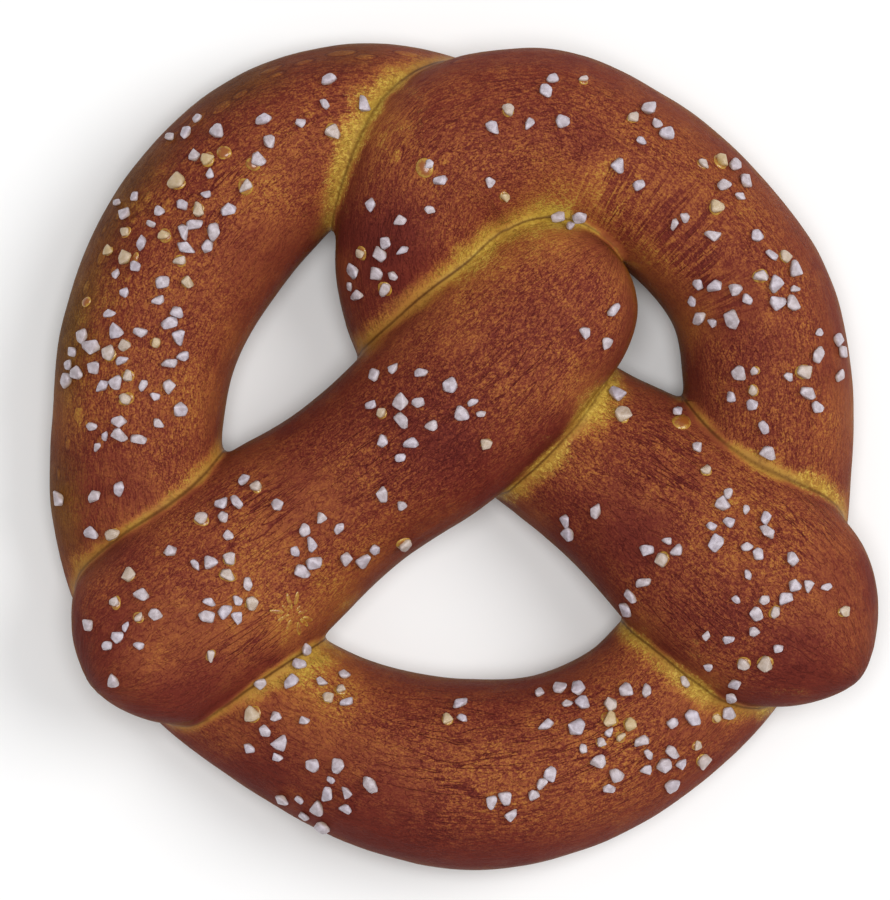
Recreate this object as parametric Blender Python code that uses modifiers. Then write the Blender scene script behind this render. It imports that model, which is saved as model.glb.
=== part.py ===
# Soft pretzel: one rope of dough, twisted, baked brown and strewn with coarse salt.
# It lies on its flat underside, +Z up, with the curve of the bow towards -Y.
# The origin is on the underside, at the middle of the pretzel's box.

import math
import random

import bmesh
import bpy
from mathutils import Matrix, Vector
from mathutils.bvhtree import BVHTree

MM = 0.001

# The rope of dough, from the tip of the left end to the tip of the right end.
# Each station: x and y of the middle, half the width, lowest and highest z, in mm.
LEFT_ARM = [
    (-54.2, -31.8, 15.9, 8.0, 28.0),
    (-46.8, -26.0, 17.0, 7.0, 28.5),
    (-38.9, -20.0, 17.7, 4.0, 27.0),
    (-30.4, -13.3, 16.8, 1.0, 25.5),
    (-19.6, -5.3, 15.3, 1.0, 26.5),
    (-6.6, 4.5, 16.5, 6.0, 30.5),
    (4.0, 14.5, 16.8, 11.0, 33.5),
    (11.5, 22.0, 15.6, 12.0, 33.0),
]
LEFT_TUCK = [
    (12.0, 26.0, 12.0, -0.8, 18.0),
    (9.0, 38.0, 12.5, -0.8, 19.0),
    (1.5, 50.0, 14.4, -0.8, 20.0),
    (-10.5, 55.2, 14.4, -0.8, 22.0),
]
LEFT_LOBE = [
    (-23.0, 54.8, 14.4, -0.8, 24.5),
    (-35.3, 47.7, 15.9, -0.8, 25.5),
    (-46.3, 34.4, 16.1, -0.8, 25.5),
    (-53.0, 20.0, 15.3, -0.8, 25.0),
    (-55.3, 6.0, 14.5, -0.8, 24.0),
    (-55.1, -8.0, 14.8, -0.8, 21.5),
]
BOW = [
    (-51.8, -22.0, 14.4, -0.8, 18.0),
    (-42.8, -34.2, 14.0, -0.8, 18.0),
    (-29.0, -44.2, 14.2, -0.8, 21.5),
    (-14.8, -51.0, 15.4, -0.8, 25.0),
    (1.0, -53.8, 16.3, -0.8, 26.0),
    (16.2, -51.8, 15.5, -0.8, 25.0),
    (30.0, -44.9, 14.6, -0.8, 21.5),
    (41.4, -33.4, 15.0, -0.8, 18.0),
    (49.5, -19.0, 14.0, -0.8, 18.0),
]
RIGHT_LOBE = [
    (51.8, -3.0, 14.0, -0.8, 21.5),
    (51.6, 13.0, 14.2, -0.8, 24.5),
    (48.4, 27.5, 13.7, -0.8, 25.5),
    (39.6, 39.2, 13.6, -0.8, 25.5),
    (26.8, 48.6, 14.4, 0.0, 27.0),
    (12.0, 53.7, 15.4, 5.0, 30.0),
    (-2.6, 49.0, 15.6, 9.5, 32.0),
    (-8.0, 34.0, 13.6, 6.0, 28.5),
]
RIGHT_ARM = [
    (-4.0, 21.0, 14.0, 0.0, 21.0),
    (7.2, 10.2, 14.6, -0.8, 18.0),
    (18.9, 1.7, 15.3, -0.8, 21.5),
    (29.0, -5.2, 16.8, 0.5, 24.5),
    (39.5, -13.5, 18.8, 4.0, 27.0),
    (49.0, -21.7, 18.9, 7.0, 28.5),
    (53.3, -25.6, 18.3, 8.0, 28.0),
]

# The left arm ends in a knob where the rope dives under itself; the rest of the rope starts below the knob.
RUNS = {
    "left arm": LEFT_ARM,
    "the rest": LEFT_TUCK + LEFT_LOBE + BOW + RIGHT_LOBE + RIGHT_ARM,
}

# Rounded caps at each run's first and last station: length in mm, and how full the cap is from above.
CAPS = {
    "left arm": ((11.2, 1.6), (18.5, 2.2)),
    "the rest": ((8.0, 2.0), (18.1, 1.6)),
}
CAP_FULLNESS_SIDE = 2.3
CAP_REACH = 0.999

# The section across the rope: domed above, squarer below, widest at this share of its height.
WIDEST_AT = 0.44
DOME_FULLNESS = 2.1
BASE_FULLNESS = 2.7

RING_STEP = 2.4
RING_SIDES = 24
FUSE_VOXEL = 1.3
CREASE_SMOOTHING = 14
BODY_TRIANGLES = 2600
BASE_SNAP = 0.25

# Coarse salt, thrown on in patches: x and y of the middle, radius in mm, number of grains.
SALT_SEED = 71
SALT_PATCHES = {
    "left lobe": [
        (-24, 59, 8, 5), (-46, 55, 5, 4), (-32, 51, 6, 3), (-43, 46, 7, 9), (-55, 42, 6, 6), (-45, 38, 6, 7),
        (-58, 34, 5, 5), (-49, 29, 4, 3), (-59, 22, 6, 8), (-49, 21, 6, 6), (-62, 15, 5, 8), (-51, 11, 6, 7),
        (-60, 4, 6, 6), (-64, -8, 9, 5),
    ],
    "left arm": [
        (-57, -26, 7, 9), (-41, -22, 6, 11), (-44, -13, 6, 5), (-58, -34, 4, 2), (-34, -6, 6, 4), (-24, -16, 6, 8),
        (-38, -33, 7, 2), (-12, -15, 7, 3), (-9, 11, 7, 9), (-9, 4, 5, 4), (1, 6, 5, 4), (-7, -4, 8, 2),
        (24, 21, 5, 3), (18, 37, 5, 3),
    ],
    "bow": [
        (-24, -38, 7, 9), (-32, -48, 6, 6), (-20, -53, 6, 6), (-26, -57, 6, 6), (-2, -41, 4, 3), (9, -56, 5, 5),
        (14, -49, 7, 2), (16, -42, 5, 7), (28, -43, 6, 5), (26, -52, 6, 9), (40, -42, 7, 9), (38, -52, 5, 5),
    ],
    "right lobe": [
        (-15, 30, 5, 8), (-14, 38, 6, 4), (-4, 45, 6, 3), (3, 43, 4, 2), (4, 58, 4, 2), (17, 57, 7, 5),
        (29, 52, 7, 7), (43, 46, 5, 7), (39, 39, 4, 3), (49, 36, 6, 4), (42, 26, 5, 7), (52, 28, 5, 6),
        (62, 17, 5, 5), (57, 11, 4, 4), (47, 10, 6, 5), (53, 3, 4, 2),
    ],
    "right arm": [
        (26, 9, 3, 2), (38, 4, 4, 2), (43, -5, 4, 2), (46, -12, 5, 8), (20, -13, 5, 3), (35, -20, 6, 5),
        (28, -26, 4, 2), (43, -26, 6, 4), (53, -21, 6, 8), (48, -32, 5, 4), (60, -24, 6, 2),
    ],
}
GRAIN_LENGTH = (2.1, 3.6)
GRAIN_SLENDER = (0.6, 0.95)
GRAIN_THICK = (0.5, 0.75)
GRAIN_POINTS = 8
GRAIN_STRETCH = (0.82, 1.12)
GRAIN_TWIST = 0.35
GRAIN_SUNK = 0.2
GRAIN_GAP = 2.1
GRAIN_EDGE_MARGIN = 1.6
GRAIN_TRIES = 60
GOLDEN_ANGLE = math.pi * (3 - math.sqrt(5))


def clear_scene():
    for obj in list(bpy.data.objects):
        bpy.data.objects.remove(obj, do_unlink=True)


def collection_named(name):
    collection = bpy.data.collections.new(name)
    bpy.context.scene.collection.children.link(collection)
    return collection


def spline_value(a, b, c, d, t):
    """Catmull-Rom value between b and c."""
    return 0.5 * (2 * b + (c - a) * t + (2 * a - 5 * b + 4 * c - d) * t * t + (3 * b - a - 3 * c + d) * t**3)


def smooth_route(stations, step):
    """Stations about one step apart along a smooth curve through the given ones."""
    first = [2 * p - q for p, q in zip(stations[0], stations[1])]
    last = [2 * p - q for p, q in zip(stations[-1], stations[-2])]
    ends = [first, *stations, last]
    route = []
    for i in range(1, len(ends) - 2):
        span = math.dist(ends[i][:2], ends[i + 1][:2])
        count = max(2, round(span / step))
        for k in range(count):
            t = k / count
            route.append([spline_value(*four, t) for four in zip(*ends[i - 1 : i + 3])])
    route.append(list(stations[-1]))
    return route


def headings(route):
    """The rope's unit direction, seen from above, at each point of its route."""
    found = []
    for i in range(len(route)):
        before, after = route[max(i - 1, 0)], route[min(i + 1, len(route) - 1)]
        found.append(Vector((after[0] - before[0], after[1] - before[1], 0)).normalized())
    return found


def rounded_cap(station, outward, length, fullness):
    """Stations of a rounded cap from a run's last station out to its tip."""
    x, y, half_width, low, high = station
    middle = low + (high - low) * WIDEST_AT
    count = max(6, round(2 * length / RING_STEP))
    cap = []
    for k in range(1, count + 1):
        share = CAP_REACH * math.sin(0.5 * math.pi * k / count)
        plan = (1 - share**fullness) ** (1 / fullness)
        side = (1 - share**CAP_FULLNESS_SIDE) ** (1 / CAP_FULLNESS_SIDE)
        place = Vector((x, y)) + outward.xy * length * share
        cap.append((*place, half_width * plan, middle + (low - middle) * side, middle + (high - middle) * side))
    return cap


def section_point(angle, half_width, low, high):
    """Offset to the side and height of the rope's skin at an angle round its section."""
    c, s = math.cos(angle), math.sin(angle)
    fullness = DOME_FULLNESS if s >= 0 else BASE_FULLNESS
    middle = low + (high - low) * WIDEST_AT
    reach = high - middle if s >= 0 else middle - low
    side = math.copysign(abs(c) ** (2 / fullness), c) * half_width
    return side, middle + math.copysign(abs(s) ** (2 / fullness), s) * reach


def loft_run(bm, name):
    """One run of the rope as a closed tube: a loft through its sections, which differ from ring to ring."""
    route = smooth_route(RUNS[name], RING_STEP)
    ways = headings(route)
    (head_length, head_fullness), (tail_length, tail_fullness) = CAPS[name]
    head = rounded_cap(route[0], -ways[0], head_length, head_fullness)[::-1]
    tail = rounded_cap(route[-1], ways[-1], tail_length, tail_fullness)
    ways = [ways[0]] * len(head) + ways + [ways[-1]] * len(tail)
    rings = []
    for (x, y, *size), way in zip(head + route + tail, ways):
        across = Vector((-way.y, way.x, 0))
        ring = []
        for k in range(RING_SIDES):
            side, height = section_point(2 * math.pi * k / RING_SIDES, *size)
            ring.append(bm.verts.new((Vector((x, y, height)) + across * side) * MM))
        rings.append(ring)
    for ring, following in zip(rings, rings[1:]):
        for k in range(RING_SIDES):
            after = (k + 1) % RING_SIDES
            bm.faces.new((ring[k], ring[after], following[after], following[k]))
    bm.faces.new(rings[0][::-1])
    bm.faces.new(rings[-1])


def rope_mesh():
    """The dough rope's tubes, which pass through each other where the rope was laid over itself."""
    bm = bmesh.new()
    for name in RUNS:
        loft_run(bm, name)
    bmesh.ops.recalc_face_normals(bm, faces=bm.faces)
    mesh = bpy.data.meshes.new("rope")
    bm.to_mesh(mesh)
    bm.free()
    return mesh


def evaluated_mesh(obj):
    graph = bpy.context.evaluated_depsgraph_get()
    graph.update()
    return bpy.data.meshes.new_from_object(obj.evaluated_get(graph))


def fused_body(collection):
    """The tube fused with itself into one skin, its creases softened and its base made flat."""
    body = bpy.data.objects.new("pretzel", rope_mesh())
    collection.objects.link(body)
    fuse = body.modifiers.new("fuse", "REMESH")
    fuse.mode = "VOXEL"
    fuse.voxel_size = FUSE_VOXEL * MM
    soften = body.modifiers.new("soften", "SMOOTH")
    soften.factor = 0.5
    soften.iterations = CREASE_SMOOTHING
    body.data = evaluated_mesh(body)
    body.modifiers.clear()
    flatten_base(body.data)

    body.data.calc_loop_triangles()
    thin = body.modifiers.new("thin", "DECIMATE")
    thin.ratio = BODY_TRIANGLES / len(body.data.loop_triangles)
    thin.use_collapse_triangulate = True
    body.data = evaluated_mesh(body)
    body.modifiers.clear()
    flatten_base(body.data)
    return body


def flatten_base(mesh):
    """Presses the underside flat on the plane that it rests on."""
    for vertex in mesh.vertices:
        if vertex.co.z < BASE_SNAP * MM:
            vertex.co.z = 0


def salt_places():
    """Where the grains lie, seen from above, in mm: scattered in each patch by a seeded draw."""
    route = [station for run in RUNS.values() for station in smooth_route(run, RING_STEP)]
    rng = random.Random(SALT_SEED)
    places = []
    for x, y, radius, count in [patch for region in SALT_PATCHES.values() for patch in region]:
        for _ in range(count):
            for _ in range(GRAIN_TRIES):
                reach = radius * math.sqrt(rng.random())
                turn = rng.uniform(0, 2 * math.pi)
                place = (x + reach * math.cos(turn), y + reach * math.sin(turn))
                apart = all(math.dist(place, other) > GRAIN_GAP for other in places)
                on_rope = any(math.dist(place, s[:2]) < s[2] - GRAIN_EDGE_MARGIN for s in route)
                if apart and on_rope:
                    places.append(place)
                    break
    return places


def grain_mesh(rng):
    """A crushed crystal of salt: the hull of points scattered over a flattened ball."""
    length = rng.uniform(*GRAIN_LENGTH)
    width = length * rng.uniform(*GRAIN_SLENDER)
    thickness = length * rng.uniform(*GRAIN_THICK)
    bm = bmesh.new()
    for k in range(GRAIN_POINTS):
        rise = 1 - 2 * (k + 0.5) / GRAIN_POINTS
        turn = k * GOLDEN_ANGLE + rng.uniform(-GRAIN_TWIST, GRAIN_TWIST)
        flat = math.sqrt(1 - rise * rise)
        stretch = 0.5 * rng.uniform(*GRAIN_STRETCH)
        point = (length * flat * math.cos(turn), width * flat * math.sin(turn), thickness * rise)
        bm.verts.new(Vector(point) * stretch)
    bmesh.ops.convex_hull(bm, input=bm.verts)
    bmesh.ops.delete(bm, geom=[v for v in bm.verts if not v.link_faces], context="VERTS")
    bmesh.ops.recalc_face_normals(bm, faces=bm.faces)
    mesh = bpy.data.meshes.new("grain")
    bm.to_mesh(mesh)
    bm.free()
    return mesh, thickness


def lay_salt(body, collection):
    """Lays each grain on the crust below its place, a little sunk in."""
    tree = BVHTree.FromPolygons(
        [v.co for v in body.data.vertices], [tuple(p.vertices) for p in body.data.polygons]
    )
    rng = random.Random(SALT_SEED + 1)
    for number, (x, y) in enumerate(salt_places()):
        mesh, thickness = grain_mesh(rng)
        spin = rng.uniform(0, 2 * math.pi)
        spot, normal, _, _ = tree.ray_cast(Vector((x * MM, y * MM, 1)), Vector((0, 0, -1)))
        grain = bpy.data.objects.new(f"grain_{number:03d}", mesh)
        upright = normal.to_track_quat("Z", "Y").to_matrix().to_4x4()
        lift = thickness * (0.5 - GRAIN_SUNK)
        grain.matrix_world = (
            Matrix.Translation(spot + normal * lift * MM)
            @ upright
            @ Matrix.Rotation(spin, 4, "Z")
            @ Matrix.Scale(MM, 4)
        )
        collection.objects.link(grain)


def fuse_salt(body, salt):
    """Joins the grains to the crust and removes the loose ones."""
    join = body.modifiers.new("salt", "BOOLEAN")
    join.operation = "UNION"
    join.operand_type = "COLLECTION"
    join.collection = salt
    join.solver = "EXACT"
    body.data = evaluated_mesh(body)
    body.modifiers.clear()
    for grain in list(salt.objects):
        bpy.data.objects.remove(grain, do_unlink=True)
    bpy.data.collections.remove(salt)


def crust_material():
    material = bpy.data.materials.new("baked_crust")
    material.use_nodes = True
    shader = material.node_tree.nodes["Principled BSDF"]
    shader.inputs["Base Color"].default_value = (0.23, 0.055, 0.026, 1)
    shader.inputs["Roughness"].default_value = 0.5
    shader.inputs["Metallic"].default_value = 0
    return material


def main():
    clear_scene()
    pretzel = collection_named("soft_pretzel")
    salt = collection_named("salt")
    body = fused_body(pretzel)
    lay_salt(body, salt)
    fuse_salt(body, salt)
    body.data.materials.clear()
    body.data.materials.append(crust_material())
    body.data.shade_smooth()
    body.data.set_sharp_from_angle(angle=math.radians(40))


main()
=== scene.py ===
# Soft pretzel, the finish: browned crust, pale creases, blisters and coarse salt, seen from straight above.
import math
import random

import bmesh
import bpy
import numpy as np
from mathutils import Matrix, Vector, noise
from mathutils.bvhtree import BVHTree
from mathutils.interpolate import poly_3d_calc


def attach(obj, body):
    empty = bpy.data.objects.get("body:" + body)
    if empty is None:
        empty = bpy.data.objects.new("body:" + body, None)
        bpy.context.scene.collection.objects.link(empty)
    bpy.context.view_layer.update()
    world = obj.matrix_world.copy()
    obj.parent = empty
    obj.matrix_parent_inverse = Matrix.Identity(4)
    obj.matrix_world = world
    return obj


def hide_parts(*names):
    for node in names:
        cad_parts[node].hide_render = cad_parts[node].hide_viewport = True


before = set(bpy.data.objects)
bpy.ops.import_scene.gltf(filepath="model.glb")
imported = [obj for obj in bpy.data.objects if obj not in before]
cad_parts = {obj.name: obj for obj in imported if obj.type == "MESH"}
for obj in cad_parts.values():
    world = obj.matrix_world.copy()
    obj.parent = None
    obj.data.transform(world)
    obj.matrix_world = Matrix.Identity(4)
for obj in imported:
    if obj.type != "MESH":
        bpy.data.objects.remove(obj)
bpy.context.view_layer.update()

mm = 0.001

# The rope of dough. Each station: x and y of its middle, half its width, lowest and highest z, in mm.
rope = {
    "leftArm": [
        (-54.2, -31.8, 15.9, 8.0, 28.0),
        (-46.8, -26.0, 17.0, 7.0, 28.5),
        (-38.9, -20.0, 17.7, 4.0, 27.0),
        (-30.4, -13.3, 16.8, 1.0, 25.5),
        (-19.6, -5.3, 15.3, 1.0, 26.5),
        (-6.6, 4.5, 16.5, 6.0, 30.5),
        (4.0, 14.5, 16.8, 11.0, 33.5),
        (11.5, 22.0, 15.6, 12.0, 33.0),
    ],
    "theRest": [
        (12.0, 26.0, 12.0, -0.8, 18.0),  # tucked in below the knob
        (9.0, 38.0, 12.5, -0.8, 19.0),
        (1.5, 50.0, 14.4, -0.8, 20.0),
        (-10.5, 55.2, 14.4, -0.8, 22.0),
        (-23.0, 54.8, 14.4, -0.8, 24.5),  # left lobe
        (-35.3, 47.7, 15.9, -0.8, 25.5),
        (-46.3, 34.4, 16.1, -0.8, 25.5),
        (-53.0, 20.0, 15.3, -0.8, 25.0),
        (-55.3, 6.0, 14.5, -0.8, 24.0),
        (-55.1, -8.0, 14.8, -0.8, 21.5),
        (-51.8, -22.0, 14.4, -0.8, 18.0),  # bow
        (-42.8, -34.2, 14.0, -0.8, 18.0),
        (-29.0, -44.2, 14.2, -0.8, 21.5),
        (-14.8, -51.0, 15.4, -0.8, 25.0),
        (1.0, -53.8, 16.3, -0.8, 26.0),
        (16.2, -51.8, 15.5, -0.8, 25.0),
        (30.0, -44.9, 14.6, -0.8, 21.5),
        (41.4, -33.4, 15.0, -0.8, 18.0),
        (49.5, -19.0, 14.0, -0.8, 18.0),
        (51.8, -3.0, 14.0, -0.8, 21.5),  # right lobe
        (51.6, 13.0, 14.2, -0.8, 24.5),
        (48.4, 27.5, 13.7, -0.8, 25.5),
        (39.6, 39.2, 13.6, -0.8, 25.5),
        (26.8, 48.6, 14.4, 0.0, 27.0),
        (12.0, 53.7, 15.4, 5.0, 30.0),
        (-2.6, 49.0, 15.6, 9.5, 32.0),
        (-8.0, 34.0, 13.6, 6.0, 28.5),
        (-4.0, 21.0, 14.0, 0.0, 21.0),  # right arm
        (7.2, 10.2, 14.6, -0.8, 18.0),
        (18.9, 1.7, 15.3, -0.8, 21.5),
        (29.0, -5.2, 16.8, 0.5, 24.5),
        (39.5, -13.5, 18.8, 4.0, 27.0),
        (49.0, -21.7, 18.9, 7.0, 28.5),
        (53.3, -25.6, 18.3, 8.0, 28.0),
    ],
    "caps": {  # rounded ends: length and fullness of the first and of the last
        "leftArm": ((11.2, 1.6), (18.5, 2.2)),
        "theRest": ((8.0, 2.0), (18.1, 1.6)),
    },
    "capFullnessSide": 2.3,
    "capReach": 0.999,
    "widestAt": 0.44,
    "domeFullness": 2.1,
    "baseFullness": 2.7,
    "ringStep": 1.6,
    "ringSides": 56,
    "fewestCapRings": 6,
    "fuseVoxel": 0.785,
    "creaseSmoothing": 16,  # how often the fused mesh is smoothed, and by how much each time
    "smoothingStep": 0.5,
    "baseSnap": 0.25,  # points below this height lie on the flat underside
}


def splineValue(a, b, c, d, t):
    # a smooth curve that runs from b to c, with a before and d after them
    return 0.5 * (2 * b + (c - a) * t + (2 * a - 5 * b + 4 * c - d) * t * t + (3 * b - a - 3 * c + d) * t**3)


def smoothRoute(stations, step):
    first = [2 * p - q for p, q in zip(stations[0], stations[1])]
    last = [2 * p - q for p, q in zip(stations[-1], stations[-2])]
    ends = [first, *stations, last]
    route = []
    for i in range(1, len(ends) - 2):
        span = math.dist(ends[i][:2], ends[i + 1][:2])
        count = max(2, round(span / step))
        for k in range(count):
            route.append([splineValue(*four, k / count) for four in zip(*ends[i - 1 : i + 3])])
    route.append(list(stations[-1]))
    return route


def headings(route):
    found = []
    for i in range(len(route)):
        before, after = route[max(i - 1, 0)], route[min(i + 1, len(route) - 1)]
        found.append(Vector((after[0] - before[0], after[1] - before[1], 0)).normalized())
    return found


def roundedCap(station, outward, length, fullness):
    # the sections that round off an end of the rope
    x, y, halfWidth, low, high = station
    middle = low + (high - low) * rope["widestAt"]
    sideways = rope["capFullnessSide"]
    count = max(rope["fewestCapRings"], round(2 * length / rope["ringStep"]))
    cap = []
    for k in range(1, count + 1):
        share = rope["capReach"] * math.sin(0.5 * math.pi * k / count)
        plan = (1 - share**fullness) ** (1 / fullness)
        side = (1 - share**sideways) ** (1 / sideways)
        spot = Vector((x, y)) + outward.xy * length * share
        heights = [middle + (edge - middle) * side for edge in (low, high)]
        cap.append([*spot, halfWidth * plan, *heights])
    return cap


def sectionPoint(angle, halfWidth, low, high):
    # domed above and flatter below: how far to the side, and how high
    c, s = math.cos(angle), math.sin(angle)
    fullness = rope["domeFullness"] if s >= 0 else rope["baseFullness"]
    middle = low + (high - low) * rope["widestAt"]
    reach = high - middle if s >= 0 else middle - low
    side = math.copysign(abs(c) ** (2 / fullness), c) * halfWidth
    return side, middle + math.copysign(abs(s) ** (2 / fullness), s) * reach


def only(kind, parts):
    return [part for part in parts if isinstance(part, kind)]


def loftRun(bm, name, along):
    # a circle is drawn out ring by ring, and each ring takes the rope's section at its place
    angleLayer = bm.verts.layers.float["angle"]
    alongLayer = bm.verts.layers.float["along"]
    crownLayer = bm.verts.layers.float["crown"]
    route = smoothRoute(rope[name], rope["ringStep"])
    ways = headings(route)
    (headLength, headFullness), (tailLength, tailFullness) = rope["caps"][name]
    head = roundedCap(route[0], -ways[0], headLength, headFullness)[::-1]
    tail = roundedCap(route[-1], ways[-1], tailLength, tailFullness)
    ways = [ways[0]] * len(head) + ways + [ways[-1]] * len(tail)
    rings = head + route + tail

    verts = bmesh.ops.create_circle(bm, cap_ends=False, radius=1, segments=rope["ringSides"])["verts"]
    for vert in verts:
        vert[angleLayer] = math.atan2(vert.co.y, vert.co.x)
    edges = list({edge for vert in verts for edge in vert.link_edges})
    bmesh.ops.edgeloop_fill(bm, edges=edges)
    for i, ((x, y, halfWidth, low, high), way) in enumerate(zip(rings, ways)):
        if i:
            grown = bmesh.ops.extrude_edge_only(bm, edges=edges)["geom"]
            verts = only(bmesh.types.BMVert, grown)
            edges = only(bmesh.types.BMEdge, grown)
            along += math.dist((x, y), rings[i - 1][:2])
        across = Vector((-way.y, way.x, 0))
        for vert in verts:
            side, height = sectionPoint(vert[angleLayer], halfWidth, low, high)
            vert.co = (Vector((x, y, height)) + across * side) * mm
            vert[alongLayer] = along
            vert[crownLayer] = high
    bmesh.ops.edgeloop_fill(bm, edges=edges)
    return along


def layRope():
    # both runs of the rope; also where the knob at the first run's end lies, and how long the rope is
    bm = bmesh.new()
    for name in ("angle", "along", "crown"):
        bm.verts.layers.float.new(name)
    knobAt = loftRun(bm, "leftArm", 0)
    end = loftRun(bm, "theRest", knobAt)
    bmesh.ops.recalc_face_normals(bm, faces=bm.faces)
    bm.verts.ensure_lookup_table()
    bm.faces.ensure_lookup_table()
    return bm, knobAt, end


def appliedMesh(obj):
    graph = bpy.context.evaluated_depsgraph_get()
    graph.update()
    mesh = bpy.data.meshes.new_from_object(obj.evaluated_get(graph))
    obj.modifiers.clear()
    return mesh


def fuseDough(tubes):
    crust = bpy.data.objects.new("crust", bpy.data.meshes.new("crust"))
    bpy.context.scene.collection.objects.link(crust)
    tubes.to_mesh(crust.data)
    fuse = crust.modifiers.new("fuse", "REMESH")
    fuse.mode = "VOXEL"
    fuse.voxel_size = rope["fuseVoxel"] * mm
    soften = crust.modifiers.new("soften", "SMOOTH")
    soften.factor = rope["smoothingStep"]
    soften.iterations = rope["creaseSmoothing"]
    crust.data = appliedMesh(crust)
    for vertex in crust.data.vertices:
        if vertex.co.z < rope["baseSnap"] * mm:
            vertex.co.z = 0
    return crust


tubes, knobAt, ropeLength = layRope()
crust = fuseDough(tubes)
print("rope laid,", round(ropeLength), "mm of dough in", len(crust.data.vertices), "points")

# What each point of the crust knows about itself: where it lies on the rope, how near a crease, how brown,
# with a painted shade on the flanks that face one side.
skin = {
    "chunk": 60,  # mm of rope that each crease search takes at a time
    "ownReach": 38,  # mm along the rope within which two stretches count as one strand
    "creaseReach": 8,  # mm within which another strand is looked for
    "widthBelow": 4.6,  # mm that the pale band of a crease reaches up the lower strand
    "widthAbove": 2.0,  # and up the strand that lies on top
    "widthKnob": 4.6,  # and both ways round the knob
    "leastWidth": 0.3,  # share of those widths that is always left
    "knobReach": 46,  # mm of rope that make up the knob
    "foldSpread": 8,  # how often the fold lines are blurred
    "foldPeak": 0.5,  # the blurred value that counts as the middle of a fold
    "roundness": 15,  # mm, the rope's usual radius
    "shadedSide": (-0.1, -0.99, 0.035),  # flanks that face this way are painted darker, a painted shade: x, y and by how much
    "ruddySide": (0.1, -1.0),  # and flanks that face this way redder
    "undulation": (19, 0.30),  # size and height in mm
    "lumps": (6.5, 0.12),
    "furrows": (15, 2.3, 0.10),  # length along the rope, width across it, depth
    "lumpsFrom": Vector((7, 3, 1)),  # where in the noise the lumps and the furrows start
    "furrowsFrom": 5,
    "evenBelow": 3,  # mm above the table where the unevenness has its full height
}

# Darker and paler stretches: x, y and radius in mm, and how much browner (or, below nought, paler).
browning = [
    (-50, 54, 22, 0.12), (-36, 60, 12, 0.12), (-24, 64, 12, 0.12), (-13, 56, 8, -0.16),
    (-35, 45, 9, -0.18), (-57, 36, 9, 0.1), (-38, 19, 6, -0.14), (-44, 10, 9, -0.14), (-62, -6, 13, 0.15),
    (12, 60, 19, 0.12), (20, 51, 8, 0.12), (-6, 56, 8, 0.12), (-13, 36, 12, 0.34), (-13, 27, 7, 0.18),
    (-1, 28, 8, -0.1), (5, 33, 7, -0.18), (13, 39, 8, -0.24), (19, 44, 12, -0.2), (31, 32, 9, -0.2),
    (36, 39, 7, 0.08), (37, 23, 8, -0.2), (44, 29, 12, 0.12), (47, 16, 11, 0.12), (60, 26, 14, 0.02),
    (68, 7, 12, -0.18), (8, 23, 13, 0.08), (20, 18, 9, 0.04), (21, 10, 8, -0.18), (-6, 7, 16, 0.22),
    (-20, 8, 8, 0.12), (0, -2, 11, 0.2), (14, 3, 8, 0.12), (17, -9, 8, 0.16), (12, -11, 5, -0.16),
    (0, -12, 6, -0.14), (-26, 2, 9, 0.14), (-42, -12, 12, 0.06), (-44, -22, 8, 0.08), (-56, -17, 8, 0.12),
    (-37, -25, 11, -0.14), (-62, -30, 12, 0.2), (-47, -40, 11, 0.14), (-50, -34, 6, -0.08),
    (-20, -25, 9, -0.26), (-14, -17, 6, -0.14), (-24, -39, 10, -0.24), (28, -13, 13, 0.22),
    (30, 2, 10, 0.13), (29, -29, 6, -0.16), (40, -37, 8, -0.12), (56, -36, 13, 0.26), (57, -43, 7, -0.2),
    (43, -28, 11, 0.16), (67, -19, 11, 0.1), (68, -11, 8, -0.1), (-16, -63, 17, 0.2), (-4, -65, 12, 0.1),
    (8, -69, 12, 0.1), (-33, -54, 11, 0.2), (9, -53, 13, -0.07), (24, -47, 9, -0.08), (-8, -43, 9, 0.1),
    (6, -42, 11, 0.12), (20, -42, 9, 0.1), (50, 2, 9, 0.06), (-29, -29, 7, -0.24), (-19, -30, 7, -0.12),
    (22, 29, 7, 0.12), (40, -3, 6, 0.12), (-35, -14, 9, -0.13), (-21, 32, 6, -0.14), (-68, 8, 8, -0.12),
    (-68, -8, 8, -0.12), (-56, -11, 5, -0.12),
]

# Where a crease's pale band is wider or (below nought) narrower: x, y, radius and by what share.
creaseWidths = [
    (-14, 57, 14, 0.55), (-18, 44, 9, 0.5), (4, 33, 11, 0.5), (14, 39, 8, 0.5), (25, 37, 8, -0.6),
    (28, 26, 10, -0.6), (22, 10, 9, 1.2), (-55, -9, 16, -0.5), (-25, -36, 12, 0.5), (-44, -43, 11, -0.6),
    (45, 5, 13, -0.5), (57, -4, 8, -0.35), (37, -35, 9, 0.4), (54, -42, 9, 0.4),
]

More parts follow.
